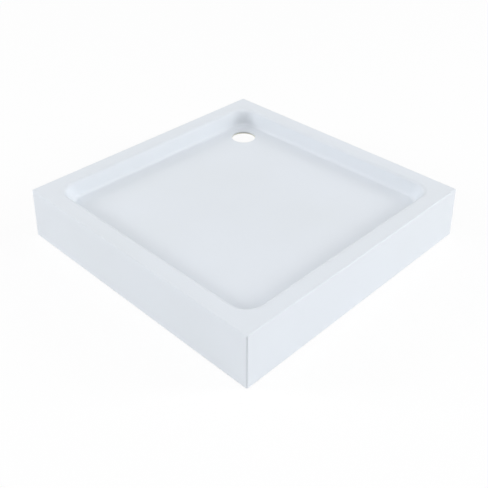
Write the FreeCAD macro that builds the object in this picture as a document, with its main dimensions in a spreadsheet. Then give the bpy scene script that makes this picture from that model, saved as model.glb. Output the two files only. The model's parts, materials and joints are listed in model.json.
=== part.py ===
import FreeCAD, Part
import math
import os

import Sketcher

# Square shower tray: a thermoformed sheet with an integral apron, its glass-fibre backing, the board
# and rails under the floor, and five levelling feet. Millimetres, +Z up, the feet stand on z = 0.
# The waste hole is in the corner towards -X and +Y. Those two sides go against walls, and their skirt
# is trimmed short. The apron is full on the front, -Y, and on +X.

Vector = FreeCAD.Vector
Rotation = FreeCAD.Rotation

os.makedirs("parts", exist_ok=True)
doc = FreeCAD.newDocument("shower_tray")

# ---------------------------------------------------------------- driving dimensions

SIZES = (
    # the moulding
    ("tray_side", 1000.0),            # over the apron's bottom edge
    ("tray_height", 178.0),           # rim above the apron's bottom edge
    ("apron_gap", 3.0),               # apron's bottom edge above the ground
    ("apron_flare", 7.5),             # how far the apron leans out from rim to bottom edge
    ("corner_radius", 12.0),          # the apron's upright corners, at the rim
    ("rim_edge_radius", 6.0),         # rim to apron
    ("rim_width", 59.0),              # flat rim, apron edge to basin edge
    ("basin_depth", 55.0),            # rim to floor at the waste
    ("wall_run", 13.8),               # how far the basin wall leans in from rim to floor
    ("rim_corner_radius", 60.0),      # basin corner, at the rim
    ("floor_corner_radius", 64.0),    # basin corner, at the floor
    ("rim_roll_radius", 13.0),        # rim to basin wall
    ("floor_roll_radius", 13.0),      # basin wall to floor
    ("floor_fall", 0.008),            # rise of the floor per length away from the waste
    ("waste_radius", 45.0),           # 90 mm waste
    ("waste_inset", 170.0),           # waste centre from the apron's outer faces
    ("skirt_height", 60.0),           # skirt left on the two wall sides, rim to trimmed edge
    ("apron_return", 48.0),           # full-height apron carried round onto a wall side
    ("trim_radius", 24.0),            # from the return's upright edge to the trimmed edge
    ("trim_reach", 30.0),             # how far in from the sides the trimming goes
    ("skin", 4.0),                    # acrylic sheet
    ("laminate", 4.0),                # glass-fibre backing
    ("laminate_setback", 12.0),       # backing stops this far above the apron's bottom edge
    # under the floor
    ("bed_least", 2.0),               # bonding paste at its thinnest
    ("board_side", 780.0),
    ("board_thickness", 18.0),
    ("board_corner_radius", 40.0),
    ("waste_clearance", 95.0),        # radius kept free round the waste
    ("batten_width", 34.0),
    ("batten_height", 18.0),
    ("batten_gap", 1.0),              # batten to the backing inside the apron
    ("batten_end_gap", 6.0),
    ("batten_joint", 0.5),            # between the ends of two battens
    # hat-section rails and the middle bracket
    ("rail_length", 760.0),
    ("rail_front_offset", 300.0),     # middle line of each rail from the tray's middle
    ("rail_back_offset", 190.0),      # the back rail clears the waste
    ("rail_height", 30.0),
    ("rail_crown", 40.0),             # over the webs
    ("rail_lip", 20.0),
    ("rail_wall", 2.0),
    ("rail_bend", 2.0),               # inside radius of each bend
    ("bracket_length", 90.0),
    ("screw_radius", 2.4),
    ("screw_head_radius", 4.8),
    ("screw_head_height", 3.0),
    ("screw_length", 16.0),
    ("screw_play", 0.15),             # round the shank, in the board
    ("screw_hole_play", 0.6),         # round the shank, in the steel
    ("rail_screw_inset", 118.0),      # screws from the rail's ends
    # levelling feet
    ("foot_inset", 60.0),             # outer feet from the rail's ends
    ("thread_radius", 6.0),           # M12
    ("thread_play", 0.05),
    ("spindle_hole_play", 0.5),       # in the rail
    ("spindle_stub", 6.0),            # spindle above its weld nut
    ("spindle_bevel", 1.2),
    ("nut_flats", 18.0),
    ("weld_nut_height", 10.0),
    ("lock_nut_height", 7.0),
    ("wrench_flats", 17.0),           # the spindle's own hexagon
    ("wrench_height", 8.0),
    ("journal_length", 11.0),         # spindle below its hexagon, in the pad
    ("journal_play", 0.08),
    ("journal_end_play", 0.5),
    ("pad_radius", 30.0),
    ("pad_height", 20.0),             # above the sole
    ("pad_plate", 4.0),               # the plate above the sole
    ("hub_radius", 13.0),
    ("rib_thickness", 3.0),
    ("rib_margin", 3.0),              # rib from the plate's edge, and from the hub's top
    ("rib_edge", 1.0),                # upright end of a rib
    ("sole_radius", 28.0),
    ("sole_thickness", 4.0),
    ("sole_recess", 1.5),             # how deep the sole sits in the pad
    ("sole_play", 0.2),
)

# Places that follow from the sizes: the cells hold formulas.
PLACES = (
    ("slant", "sqrt(1 + pow(sizes.apron_flare / sizes.tray_height; 2))"),
    ("rim_z", "sizes.apron_gap + sizes.tray_height"),
    ("floor_z", "rim_z - sizes.basin_depth"),
    ("floor_back_z", "floor_z - sizes.skin - sizes.laminate"),
    ("board_top_z", "floor_back_z - sizes.bed_least"),
    ("board_z", "board_top_z - sizes.board_thickness"),
    ("rail_z", "board_z - sizes.rail_height"),
    ("rail_top_z", "rail_z + sizes.rail_wall"),
    ("spindle_top_z", "rail_top_z + sizes.weld_nut_height + sizes.spindle_stub"),
    ("pad_z", "sizes.sole_thickness - sizes.sole_recess"),
    ("pad_top_z", "sizes.sole_thickness + sizes.pad_height"),
    ("trim_z", "rim_z - sizes.skirt_height"),
    ("lip_middle", "sizes.rail_crown / 2 + sizes.rail_lip / 2"),
    ("rail_screw", "sizes.rail_length / 2 - sizes.rail_screw_inset"),
    ("foot_offset", "sizes.rail_length / 2 - sizes.foot_inset"),
    ("bracket_offset", "(sizes.rail_back_offset - sizes.rail_front_offset) / 2"),
    ("waste_place", "sizes.tray_side / 2 - sizes.waste_inset"),
    ("basin_half", "sizes.tray_side / 2 - sizes.apron_flare - sizes.rim_width"),
    ("backing", "sizes.skin + sizes.laminate"),
    ("under_rim_z", "rim_z - backing"),
    ("under_rim_half", "sizes.tray_side / 2 - backing * slant"
                       " - sizes.apron_flare * (1 - backing / sizes.tray_height)"),
    ("batten_half", "under_rim_half - sizes.batten_gap"),
)


def make_sheet(name, rows, start=""):
    """A sheet with one aliased cell for each row."""
    made = doc.addObject("Spreadsheet::Sheet", name)
    for line, (alias, content) in enumerate(rows, 1):
        made.set(f"A{line}", alias)
        made.set(f"B{line}", f"{start}{content}")
        made.setAlias(f"B{line}", alias)
    doc.recompute()
    return made


sizes = make_sheet("sizes", SIZES)
places = make_sheet("places", PLACES, "=")


def number(text):
    """The value of an expression in the sheets' names."""
    return float(sizes.evalExpression(text))


# ---------------------------------------------------------------- sketches and features

TINY = 0.001                          # two places this close are the same


def origin_plane(body, role):
    return next(item for item in body.Origin.OriginFeatures if item.Role == role)


def new_body(name):
    return doc.addObject("PartDesign::Body", name)


def new_sketch(body, name, role="XY_Plane", lift=None):
    """A sketch on one of the body's own planes, lifted along the plane's normal."""
    made = body.newObject("Sketcher::SketchObject", name)
    made.AttachmentSupport = [(origin_plane(body, role), "")]
    made.MapMode = "FlatFace"
    if lift is not None:
        made.setExpression("AttachmentOffset.Base.z", lift)
    doc.recompute()
    return made


def bind(sketch, constraint, name, text):
    """Add a named dimension and bind it to an expression."""
    index = sketch.addConstraint(constraint)
    sketch.renameConstraint(index, name)
    sketch.setExpression(f"Constraints.{name}", text)


def place_point(sketch, geometry, end, name, x_text, y_text):
    """Fix one point of a sketch by its two coordinates."""
    if x_text == "0":
        sketch.addConstraint(Sketcher.Constraint("PointOnObject", geometry, end, -2))
    else:
        x = Sketcher.Constraint("DistanceX", -1, 1, geometry, end, number(x_text))
        bind(sketch, x, f"{name}_x", x_text)
    if y_text == "0":
        sketch.addConstraint(Sketcher.Constraint("PointOnObject", geometry, end, -1))
    else:
        y = Sketcher.Constraint("DistanceY", -1, 1, geometry, end, number(y_text))
        bind(sketch, y, f"{name}_y", y_text)


def draw_outline(sketch, corners):
    """A closed outline of straight lines through corners given as expressions."""
    points = [Vector(number(x), number(y), 0) for x, y in corners]
    first = sketch.GeometryCount
    count = len(points)
    for at in range(count):
        sketch.addGeometry(Part.LineSegment(points[at], points[(at + 1) % count]), False)
    for at in range(count):
        after = first + (at + 1) % count
        sketch.addConstraint(Sketcher.Constraint("Coincident", first + at, 2, after, 1))
    for at, (x_text, y_text) in enumerate(corners):
        place_point(sketch, first + at, 1, f"corner_{at}", x_text, y_text)


def draw_circles(sketch, spots, radius):
    """Equal circles at spots given as expressions."""
    first = sketch.GeometryCount
    for at, (x_text, y_text) in enumerate(spots):
        centre = Vector(number(x_text), number(y_text), 0)
        sketch.addGeometry(Part.Circle(centre, Vector(0, 0, 1), number(radius)), False)
        place_point(sketch, first + at, 3, f"spot_{first + at}", x_text, y_text)
        if at:
            sketch.addConstraint(Sketcher.Constraint("Equal", first, first + at))
    bind(sketch, Sketcher.Constraint("Radius", first, number(radius)), f"radius_{first}", radius)


def draw_rounded_square(sketch, side, radius):
    """A square about the origin with equal round corners."""
    half = number(side) / 2
    bend = number(radius)
    middle = half - bend
    for turn in range(4):
        start = turn * math.pi / 2
        x = middle if turn in (0, 3) else -middle
        y = middle if turn in (0, 1) else -middle
        circle = Part.Circle(Vector(x, y, 0), Vector(0, 0, 1), bend)
        sketch.addGeometry(Part.ArcOfCircle(circle, start, start + math.pi / 2), False)
    for turn in range(4):
        spin = Rotation(Vector(0, 0, 1), 90 * turn)
        line = Part.LineSegment(spin.multVec(Vector(middle, half, 0)), spin.multVec(Vector(-middle, half, 0)))
        sketch.addGeometry(line, False)
    for turn in range(4):
        sketch.addConstraint(Sketcher.Constraint("Tangent", turn, 2, 4 + turn, 1))
        sketch.addConstraint(Sketcher.Constraint("Tangent", 4 + turn, 2, (turn + 1) % 4, 1))
        sketch.addConstraint(Sketcher.Constraint("Vertical" if turn % 2 else "Horizontal", 4 + turn))
        if turn:
            sketch.addConstraint(Sketcher.Constraint("Equal", 0, turn))
    sketch.addConstraint(Sketcher.Constraint("Symmetric", 0, 3, 2, 3, -1, 1))
    sketch.addConstraint(Sketcher.Constraint("Equal", 4, 5))
    bind(sketch, Sketcher.Constraint("Radius", 0, bend), "bend", radius)
    bind(sketch, Sketcher.Constraint("DistanceX", 5, 1, 7, 1, 2 * half), "side", side)


def draw_hexagon(sketch, flats):
    """A regular hexagon about the origin, by the width over its flats."""
    reach = number(flats) / math.sqrt(3)
    points = [Rotation(Vector(0, 0, 1), 60 * turn).multVec(Vector(reach, 0, 0)) for turn in range(6)]
    for at in range(6):
        sketch.addGeometry(Part.LineSegment(points[at], points[(at + 1) % 6]), False)
    ring = sketch.addGeometry(Part.Circle(Vector(0, 0, 0), Vector(0, 0, 1), reach), True)
    sketch.addConstraint(Sketcher.Constraint("Coincident", ring, 3, -1, 1))
    for at in range(6):
        sketch.addConstraint(Sketcher.Constraint("Coincident", at, 2, (at + 1) % 6, 1))
        sketch.addConstraint(Sketcher.Constraint("PointOnObject", at, 1, ring))
        if at:
            sketch.addConstraint(Sketcher.Constraint("Equal", 0, at))
    sketch.addConstraint(Sketcher.Constraint("PointOnObject", 0, 1, -1))
    bind(sketch, Sketcher.Constraint("Radius", ring, reach), "reach", f"({flats}) / sqrt(3)")


def pad(body, sketch, length, name, middle=False):
    made = body.newObject("PartDesign::Pad", name)
    made.Profile = sketch
    made.setExpression("Length", length)
    made.Midplane = middle
    doc.recompute()
    return made


def cut_through(body, sketch, name):
    """A pocket that goes through the body both ways, checked by the volume it takes away."""
    before = body.Shape.Volume
    made = body.newObject("PartDesign::Pocket", name)
    made.Profile = sketch
    made.Type = "ThroughAll"
    made.Midplane = True
    doc.recompute()
    assert body.Shape.Volume < before, f"{name} cuts nothing"
    return made


def cut_to(body, sketch, length, name, upwards):
    """A pocket of one depth, checked by the volume it takes away."""
    before = body.Shape.Volume
    made = body.newObject("PartDesign::Pocket", name)
    made.Profile = sketch
    made.Reversed = upwards
    made.setExpression("Length", length)
    doc.recompute()
    assert body.Shape.Volume < before, f"{name} cuts nothing"
    return made


def revolve(body, sketch, name):
    """Turn a profile once round the sketch's vertical axis."""
    made = body.newObject("PartDesign::Revolution", name)
    made.Profile = sketch
    made.ReferenceAxis = (sketch, ["V_Axis"])
    made.Angle = 360
    doc.recompute()
    return made


def round_edges(body, base, edges, radius, name):
    """Round the edges of a feature that a test picks out."""
    picked = [f"Edge{at}" for at, edge in enumerate(base.Shape.Edges, 1) if edges(edge)]
    assert picked, f"{name} finds no edges"
    made = body.newObject("PartDesign::Fillet", name)
    made.Base = (base, picked)
    made.setExpression("Radius", radius)
    doc.recompute()
    return made


def edge_at_height(height):
    """A test for the edges that lie flat at one height."""
    def test(edge):
        box = edge.BoundBox
        return abs(box.ZMin - height) < TINY and abs(box.ZMax - height) < TINY
    return test


def boolean(kind, name, base, tool):
    made = doc.addObject(f"Part::{kind}", name)
    made.Base = base
    made.Tool = tool
    made.Refine = False
    doc.recompute()
    return made


def stand(item, x="0", y="0", z="0"):
    """Put a piece in its place by three expressions."""
    for axis, text in (("x", x), ("y", y), ("z", z)):
        if text != "0":
            item.setExpression(f"Placement.Base.{axis}", text)


NODES = []


def node(item, name, solids=1):
    """Name a finished piece and note how many solids it has."""
    item.Label = name
    NODES.append((item, solids))


# ---------------------------------------------------------------- the moulding, its skin and its backing

class Level:
    """One surface of the moulding: the face that shows, or a surface some depth behind it.

    The face turns in arcs. A hidden surface turns in short flats, and its top edge is sharp.
    """

    def __init__(self, name, depth, shows):
        self.name = name
        self.depth = depth
        self.shows = shows


LEVELS = (
    Level("face", "0", True),
    Level("skin_back", "sizes.skin", False),
    Level("laminate_back", "places.backing", False),
)


def apron_block(level):
    """The moulding's outside with no basin: it narrows upwards, and its top edge is rounded."""
    body = new_body(f"{level.name}_block")
    base = new_sketch(body, f"{level.name}_outline", lift="sizes.apron_gap")
    side = f"sizes.tray_side - 2 * ({level.depth}) * places.slant"
    draw_rounded_square(base, side, f"sizes.corner_radius + sizes.apron_flare - ({level.depth})")
    rise = pad(body, base, f"sizes.tray_height - ({level.depth})", f"{level.name}_rise")
    rise.setExpression("TaperAngle", "-atan(sizes.apron_flare / sizes.tray_height)")
    doc.recompute()
    if level.shows:
        top = edge_at_height(number("places.rim_z"))
        round_edges(body, rise, top, "sizes.rim_edge_radius", f"{level.name}_rim_edge")
    return body


class Row:
    """One ring of control points round the basin.

    It has a half width, a height, the middle of its corner arcs, a weight and the share of the
    floor's fall that it takes.
    """

    def __init__(self, half, height, middle, weight, share):
        self.half = half
        self.height = height
        self.middle = middle
        self.weight = weight
        self.share = share


def halfway_round(start, corner, end):
    """The ring halfway round the arc that three rings control."""
    total = start.weight + 2 * corner.weight + end.weight

    def mix(name):
        values = [getattr(row, name) * row.weight for row in (start, corner, end)]
        return (values[0] + 2 * values[1] + values[2]) / total
    return Row(mix("half"), mix("height"), mix("middle"), 1.0, mix("share"))


def basin_rows(depth):
    """The basin's section at one depth behind the face, from the rim plane to the floor plane."""
    drop = number("sizes.basin_depth")
    run = number("sizes.wall_run")
    wall = math.hypot(drop, run)
    steep = math.atan2(drop, run)
    rim_z = number("places.rim_z") - depth
    half = number("places.basin_half") + depth * (wall - run) / drop
    rim_roll = (number("sizes.rim_roll_radius") - depth) * math.tan(steep / 2)
    floor_roll = (number("sizes.floor_roll_radius") + depth) * math.tan(steep / 2)
    rim_middle = number("places.basin_half - sizes.rim_corner_radius")
    floor_middle = number("places.basin_half - sizes.wall_run - sizes.floor_corner_radius")
    lean = (floor_middle - rim_middle) / drop
    rows = [Row(half + rim_roll, rim_z, rim_middle + lean * depth, 1.0, 0.0)]
    turn_weight = math.cos(steep / 2)
    stops = ((0.0, turn_weight), (rim_roll, 1.0), (wall - floor_roll, 1.0), (wall, turn_weight))
    for along, weight in stops:
        part = along / wall
        middle = rim_middle + lean * (depth + drop * part)
        rows.append(Row(half - run * part, rim_z - drop * part, middle, weight, part))
    rows.append(Row(half - run - floor_roll, rim_z - drop, floor_middle + lean * depth, 1.0, 1.0))
    return rows


def basin_stretches(rows, shows):
    """The rows of each band of the basin's surface: arcs and a flat wall, or flats only."""
    if shows:
        return [rows[0:3], rows[2:4], rows[3:6]]
    flats = [rows[0], halfway_round(*rows[0:3]), rows[2], rows[3], halfway_round(*rows[3:6]), rows[5]]
    return [flats[at:at + 2] for at in range(5)]


def floor_rise(x, y):
    """How much higher the floor is here than at the waste."""
    waste = number("places.waste_place")
    return number("sizes.floor_fall") * ((x - y) / math.sqrt(2) + waste * math.sqrt(2))


def basin_point(row, x, y, turn):
    """A control point of the basin, turned to its side, with its share of the floor's fall."""
    spot = Rotation(Vector(0, 0, 1), 90 * turn).multVec(Vector(x, y, row.height))
    return spot + Vector(0, 0, row.share * floor_rise(spot.x, spot.y))


def basin_patch(rows, turn, corner):
    """One stretch of the basin's surface: a straight side, or the round corner after it."""
    points = []
    weights = []
    for row in rows:
        if corner:
            spots = ((row.half, row.middle), (row.half, row.half), (row.middle, row.half))
            arc = (1.0, math.sqrt(0.5), 1.0)
        else:
            spots = ((row.half, -row.middle), (row.half, row.middle))
            arc = (1.0, 1.0)
        points.append([basin_point(row, x, y, turn) for x, y in spots])
        weights.append([row.weight * weight for weight in arc])
    along = len(rows) - 1
    across = len(points[0]) - 1
    surface = Part.BSplineSurface()
    surface.buildFromPolesMultsKnots(
        points, [along + 1] * 2, [across + 1] * 2, [0.0, 1.0], [0.0, 1.0],
        False, False, along, across, weights)
    return surface.toShape()


def basin_ring(row):
    """The closed wire that one row of control points makes round the basin."""
    edges = []
    for turn in range(4):
        start = basin_point(row, row.half, -row.middle, turn)
        bend = basin_point(row, row.half, row.middle, turn)
        tip = basin_point(row, row.half, row.half, turn)
        end = basin_point(row, row.middle, row.half, turn)
        edges.append(Part.makeLine(start, bend))
        arc = Part.BSplineCurve()
        arc.buildFromPolesMultsKnots(
            [bend, tip, end], [3, 3], [0.0, 1.0], False, 2, [1.0, math.sqrt(0.5), 1.0])
        edges.append(arc.toShape())
    return Part.Wire(edges)


def moulding(level, block):
    """The solid under one level: the apron block with the basin pressed into its top."""
    rows = basin_rows(number(level.depth))
    flat = edge_at_height(number(f"places.rim_z - ({level.depth})"))
    faces = []
    for face in block.Shape.Faces:
        if all(flat(edge) for edge in face.Edges):
            rings = [face.OuterWire, basin_ring(rows[0])]
            faces.append(Part.makeFace(rings, "Part::FaceMakerBullseye"))
        else:
            faces.append(face)
    for band in basin_stretches(rows, level.shows):
        for turn in range(4):
            faces.append(basin_patch(band, turn, False))
            faces.append(basin_patch(band, turn, True))
    faces.append(Part.Face(basin_ring(rows[-1])))
    shell = Part.Shell(faces)
    shell.sewShape()
    solid = Part.Solid(shell)
    if solid.Volume < 0:
        solid.reverse()
    made = doc.addObject("Part::Feature", f"{level.name}_form")
    made.Shape = solid
    return made


def waste_cutter(name):
    made = doc.addObject("Part::Cylinder", name)
    made.setExpression("Radius", "sizes.waste_radius")
    made.setExpression("Height", "places.rim_z")
    stand(made, "-places.waste_place", "places.waste_place")
    return made


def wall_side_cutter(name):
    """What is trimmed off the skirt along the two wall sides, with a rounded top at both ends."""
    body = new_body(name)
    outline = new_sketch(body, f"{name}_outline")
    out = "sizes.tray_side / 2 + sizes.trim_reach"
    inside = "sizes.tray_side / 2 - sizes.trim_reach"
    end = "sizes.tray_side / 2 - sizes.apron_return"
    draw_outline(outline, [
        (f"-({out})", f"-({end})"),
        (f"-({inside})", f"-({end})"),
        (f"-({inside})", inside),
        (end, inside),
        (end, out),
        (f"-({out})", out),
    ])
    block = pad(body, outline, "places.trim_z", f"{name}_block")
    top = edge_at_height(number("places.trim_z"))
    stop = number(end)

    def at_end(edge):
        box = edge.BoundBox
        left = abs(box.YMin + stop) < TINY and abs(box.YMax + stop) < TINY
        back = abs(box.XMin - stop) < TINY and abs(box.XMax - stop) < TINY
        return top(edge) and (left or back)

    round_edges(body, block, at_end, "sizes.trim_radius", f"{name}_ends")
    return body


def finished_layer(name, whole):
    """A layer of the moulding with its waste hole and its wall sides trimmed."""
    opened = boolean("Cut", f"{name}_open", whole, waste_cutter(f"{name}_waste"))
    return boolean("Cut", f"{name}_trimmed", opened, wall_side_cutter(f"{name}_wall_sides"))


FORMS = [moulding(level, apron_block(level)) for level in LEVELS]

skin_whole = boolean("Cut", "skin_whole", FORMS[0], FORMS[1])
node(finished_layer("skin", skin_whole), "tray_shell")

laminate_whole = boolean("Cut", "laminate_whole", FORMS[1], FORMS[2])
setback = doc.addObject("Part::Box", "laminate_setback")
setback.setExpression("Length", "sizes.tray_side")
setback.setExpression("Width", "sizes.tray_side")
setback.setExpression("Height", "sizes.apron_gap + sizes.laminate_setback")
stand(setback, "-sizes.tray_side / 2", "-sizes.tray_side / 2")
node(boolean("Cut", "laminate_piece", finished_layer("laminate", laminate_whole), setback), "grp_backing")


# ---------------------------------------------------------------- board, bonding bed and battens

def rail_screw_spots(along, offset):
    """Where the screws of a rail go: pairs either side of its crown."""
    spots = []
    for x in along:
        for side in ("places.lip_middle", "-places.lip_middle"):
            spots.append((x, f"{offset} + {side}"))
    return spots


RAIL_SCREWS = ("-places.rail_screw", "places.rail_screw")
BRACKET_SCREWS = ("0",)
RAILS = (
    ("rail_front", "-sizes.rail_front_offset", "sizes.rail_length", RAIL_SCREWS),
    ("rail_back", "sizes.rail_back_offset", "sizes.rail_length", RAIL_SCREWS),
    ("centre_bracket", "places.bracket_offset", "sizes.bracket_length", BRACKET_SCREWS),
)


def floor_slab(name, lift, thickness):
    """A slab under the floor, with a round bite out of its corner to clear the waste."""
    body = new_body(name)
    outline = new_sketch(body, f"{name}_outline", lift=lift)
    draw_rounded_square(outline, "sizes.board_side", "sizes.board_corner_radius")
    pad(body, outline, thickness, f"{name}_slab")
    bite = new_sketch(body, f"{name}_bite", lift=lift)
    draw_circles(bite, [("-places.waste_place", "places.waste_place")], "sizes.waste_clearance")
    cut_through(body, bite, f"{name}_waste_bite")
    return body


board = floor_slab("board_body", "places.board_z", "sizes.board_thickness")
pilots = new_sketch(board, "board_pilots", lift="places.board_z")
pilot_spots = [spot for _, offset, _, along in RAILS for spot in rail_screw_spots(along, offset)]
draw_circles(pilots, pilot_spots, "sizes.screw_radius + sizes.screw_play")
cut_to(board, pilots, "sizes.screw_length - sizes.rail_wall + sizes.screw_play", "board_pilot_holes", True)
node(board, "base_board")

# The bed's slab reaches up past the laminate, which shapes its top.
bed_slab = floor_slab("bed_slab", "places.board_top_z", "sizes.basin_depth")
node(boolean("Common", "bed_piece", bed_slab, FORMS[2]), "bonding_bed")


def batten(name, across, length, side):
    """A timber strip flat under the rim. Those along X run past the ends of the other two."""
    made = doc.addObject("Part::Box", f"{name}_piece")
    depth, start = "sizes.batten_width", f"-({length}) / 2"
    edge = "places.batten_half - sizes.batten_width" if side > 0 else "-places.batten_half"
    made.setExpression("Length", depth if across else length)
    made.setExpression("Width", length if across else depth)
    made.setExpression("Height", "sizes.batten_height")
    height = "places.under_rim_z - sizes.batten_height"
    stand(made, edge if across else start, start if across else edge, height)
    node(made, name)


LONG_BATTEN = "2 * (places.batten_half - sizes.batten_end_gap)"
SHORT_BATTEN = "2 * (places.batten_half - sizes.batten_width - sizes.batten_joint)"
batten("rim_batten_front", False, LONG_BATTEN, -1)
batten("rim_batten_back", False, LONG_BATTEN, 1)
batten("rim_batten_left", True, SHORT_BATTEN, -1)
batten("rim_batten_right", True, SHORT_BATTEN, 1)


# ---------------------------------------------------------------- rails, bracket and their screws

def hat_section(sketch):
    """The rail's section: two lips on top against the board, two webs and a crown below."""
    web = "sizes.rail_crown / 2"
    inner = "sizes.rail_crown / 2 - sizes.rail_wall"
    lip = "sizes.rail_crown / 2 + sizes.rail_lip"
    top = "sizes.rail_height"
    under = "sizes.rail_height - sizes.rail_wall"
    right = [(inner, "sizes.rail_wall"), (inner, top), (lip, top), (lip, under), (web, under), (web, "0")]
    left = [(f"-({x})", y) for x, y in reversed(right)]
    draw_outline(sketch, right + left)


def at_bend(inside):
    """A test for the long edges of a rail's bends, on the inside or the outside of each bend."""
    web, wall = number("sizes.rail_crown / 2"), number("sizes.rail_wall")
    top = number("sizes.rail_height")
    spots = ((web, 0.0), (web - wall, top)) if not inside else ((web - wall, wall), (web, top - wall))

    def test(edge):
        box = edge.BoundBox
        if box.XLength < 2 * web:
            return False
        near = [abs(abs(box.YMin) - y) + abs(box.ZMin - z) for y, z in spots]
        return box.YLength < TINY and box.ZLength < TINY and min(near) < TINY
    return test


def rail(name, offset, length, screws, feet):
    body = new_body(f"{name}_body")
    section = new_sketch(body, f"{name}_section", "YZ_Plane")
    hat_section(section)
    bar = pad(body, section, length, f"{name}_bar", middle=True)
    outer = round_edges(body, bar, at_bend(False), "sizes.rail_bend + sizes.rail_wall", f"{name}_outer_bends")
    round_edges(body, outer, at_bend(True), "sizes.rail_bend", f"{name}_inner_bends")
    holes = new_sketch(body, f"{name}_spindle_spots")
    draw_circles(holes, [(x, "0") for x in feet], "sizes.thread_radius + sizes.spindle_hole_play")
    cut_through(body, holes, f"{name}_spindle_holes")
    lips = new_sketch(body, f"{name}_screw_spots")
    draw_circles(lips, rail_screw_spots(screws, "0"), "sizes.screw_radius + sizes.screw_hole_play")
    cut_through(body, lips, f"{name}_screw_holes")
    stand(body, y=offset, z="places.rail_z")
    node(body, name)


def screw_group(name, offset, screws):
    """The chipboard screws of one rail: heads under the lips, shanks up into the board."""
    body = new_body(f"{name}_body")
    spots = rail_screw_spots(screws, "0")
    under = "-sizes.rail_wall"
    heads = new_sketch(body, f"{name}_head_spots", lift=f"{under} - sizes.screw_head_height")
    draw_circles(heads, spots, "sizes.screw_head_radius")
    pad(body, heads, "sizes.screw_head_height", f"{name}_heads")
    shanks = new_sketch(body, f"{name}_shank_spots", lift=under)
    draw_circles(shanks, spots, "sizes.screw_radius")
    pad(body, shanks, "sizes.screw_length", f"{name}_shanks")
    stand(body, y=offset, z="places.board_z")
    node(body, name, len(spots))


OUTER_FEET = ("-places.foot_offset", "places.foot_offset")
for rail_name, rail_offset, rail_length, rail_screws in RAILS:
    rail_feet = ("0",) if rail_name == "centre_bracket" else OUTER_FEET
    rail(rail_name, rail_offset, rail_length, rail_screws, rail_feet)
    screw_group(f"{rail_name}_screws", rail_offset, rail_screws)


# ---------------------------------------------------------------- levelling feet

def nut(name, height, x, y, z):
    """A hexagonal nut, bored to clear the spindle's thread."""
    body = new_body(f"{name}_body")
    shape = new_sketch(body, f"{name}_hexagon")
    draw_hexagon(shape, "sizes.nut_flats")
    pad(body, shape, height, f"{name}_blank")
    bore = new_sketch(body, f"{name}_bore")
    draw_circles(bore, [("0", "0")], "sizes.thread_radius + sizes.thread_play")
    cut_through(body, bore, f"{name}_bored")
    stand(body, x, y, z)
    node(body, name)


def spindle(name, x, y):
    """The threaded rod, with a hexagon to turn it by and a journal below that."""
    body = new_body(f"{name}_body")
    profile = new_sketch(body, f"{name}_profile", "XZ_Plane")
    radius, top = "sizes.thread_radius", "places.spindle_top_z"
    foot_z = "places.pad_top_z - sizes.journal_length"
    bevel = "sizes.spindle_bevel"
    draw_outline(profile, [
        ("0", foot_z),
        (radius, foot_z),
        (radius, f"{top} - {bevel}"),
        (f"{radius} - {bevel}", top),
        ("0", top),
    ])
    revolve(body, profile, f"{name}_rod")
    wrench = new_sketch(body, f"{name}_hexagon", lift="places.pad_top_z")
    draw_hexagon(wrench, "sizes.wrench_flats")
    pad(body, wrench, "sizes.wrench_height", f"{name}_wrench")
    stand(body, x, y)
    node(body, name)


RIBS = 6


def foot_pad(name, x, y):
    """The plastic foot: a plate with a seat for the sole, a ribbed hub, a socket for the journal."""
    body = new_body(f"{name}_body")
    profile = new_sketch(body, f"{name}_profile", "XZ_Plane")
    bore = "sizes.thread_radius + sizes.journal_play"
    socket = "places.pad_top_z - sizes.journal_length - sizes.journal_end_play"
    seat = "sizes.sole_radius + sizes.sole_play"
    plate = "sizes.sole_thickness + sizes.pad_plate"
    draw_outline(profile, [
        ("0", "sizes.sole_thickness"),
        (seat, "sizes.sole_thickness"),
        (seat, "places.pad_z"),
        ("sizes.pad_radius", "places.pad_z"),
        ("sizes.pad_radius", plate),
        ("sizes.hub_radius", plate),
        ("sizes.hub_radius", "places.pad_top_z"),
        (bore, "places.pad_top_z"),
        (bore, socket),
        ("0", socket),
    ])
    revolve(body, profile, f"{name}_turned")
    inside = "sizes.hub_radius - sizes.rib_thickness"
    outside = "sizes.pad_radius - sizes.rib_margin"
    rib = new_sketch(body, f"{name}_rib_outline", "XZ_Plane")
    draw_outline(rib, [
        (inside, f"{plate} - sizes.rib_edge"),
        (outside, f"{plate} - sizes.rib_edge"),
        (outside, f"{plate} + sizes.rib_edge"),
        ("sizes.hub_radius", "places.pad_top_z - sizes.rib_margin"),
        (inside, "places.pad_top_z - sizes.rib_margin"),
    ])
    web = pad(body, rib, "sizes.rib_thickness", f"{name}_rib", middle=True)
    ring = body.newObject("PartDesign::PolarPattern", f"{name}_ribs")
    ring.Originals = [web]
    ring.Axis = (profile, ["V_Axis"])
    ring.Angle = 360
    ring.Occurrences = RIBS
    body.Tip = ring
    doc.recompute()
    stand(body, x, y)
    node(body, name)


def foot_sole(name, x, y):
    made = doc.addObject("Part::Cylinder", f"{name}_piece")
    made.setExpression("Radius", "sizes.sole_radius")
    made.setExpression("Height", "sizes.sole_thickness")
    stand(made, x, y)
    node(made, name)


FEET = (
    ("-places.foot_offset", "-sizes.rail_front_offset"),
    ("places.foot_offset", "-sizes.rail_front_offset"),
    ("places.foot_offset", "sizes.rail_back_offset"),
    ("-places.foot_offset", "sizes.rail_back_offset"),
    ("0", "places.bracket_offset"),
)
for at_foot, (foot_x, foot_y) in enumerate(FEET, 1):
    foot = f"foot_{at_foot}"
    nut(f"{foot}_weld_nut", "sizes.weld_nut_height", foot_x, foot_y, "places.rail_top_z")
    nut(f"{foot}_lock_nut", "sizes.lock_nut_height", foot_x, foot_y, "places.rail_z - sizes.lock_nut_height")
    spindle(f"{foot}_spindle", foot_x, foot_y)
    foot_pad(f"{foot}_pad", foot_x, foot_y)
    foot_sole(f"{foot}_sole", foot_x, foot_y)


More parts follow.
